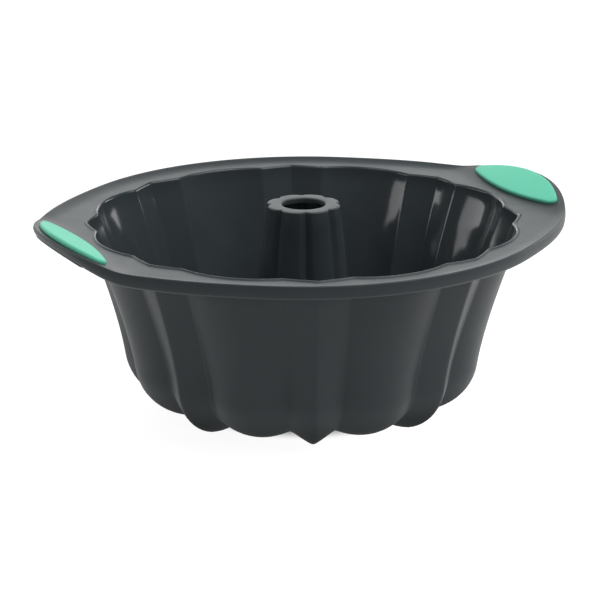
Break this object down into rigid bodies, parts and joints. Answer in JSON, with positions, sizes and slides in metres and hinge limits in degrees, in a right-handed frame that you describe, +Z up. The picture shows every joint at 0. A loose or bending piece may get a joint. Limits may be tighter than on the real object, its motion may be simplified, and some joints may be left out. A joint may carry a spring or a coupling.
{
  "type": "fluted tube pan",
  "caption": "Soft fluted pan for ring cakes: a lobed bowl with a hollow centre tube, a wide flat rim stiffened by a wire ring, and raised side handles with soft green grips.",
  "frame": {"origin": "on the tube's axis, on the table under the pan's base", "axes": "+X along the two handles, towards the right one; +Z up along the tube; +Y across the pan"},
  "size_m": [0.3014, 0.269, 0.114],
  "materials": {
    "grey_silicone": "satin charcoal silicone, glossier inside the bowl",
    "steel_wire": "drawn steel wire",
    "green_silicone": "satin mint-green silicone"
  },
  "bodies": {
    "root": {"pan_body": "grey_silicone", "rim_wire": "steel_wire", "grip_right": "green_silicone", "grip_left": "green_silicone"}
  },
  "joints": []
}
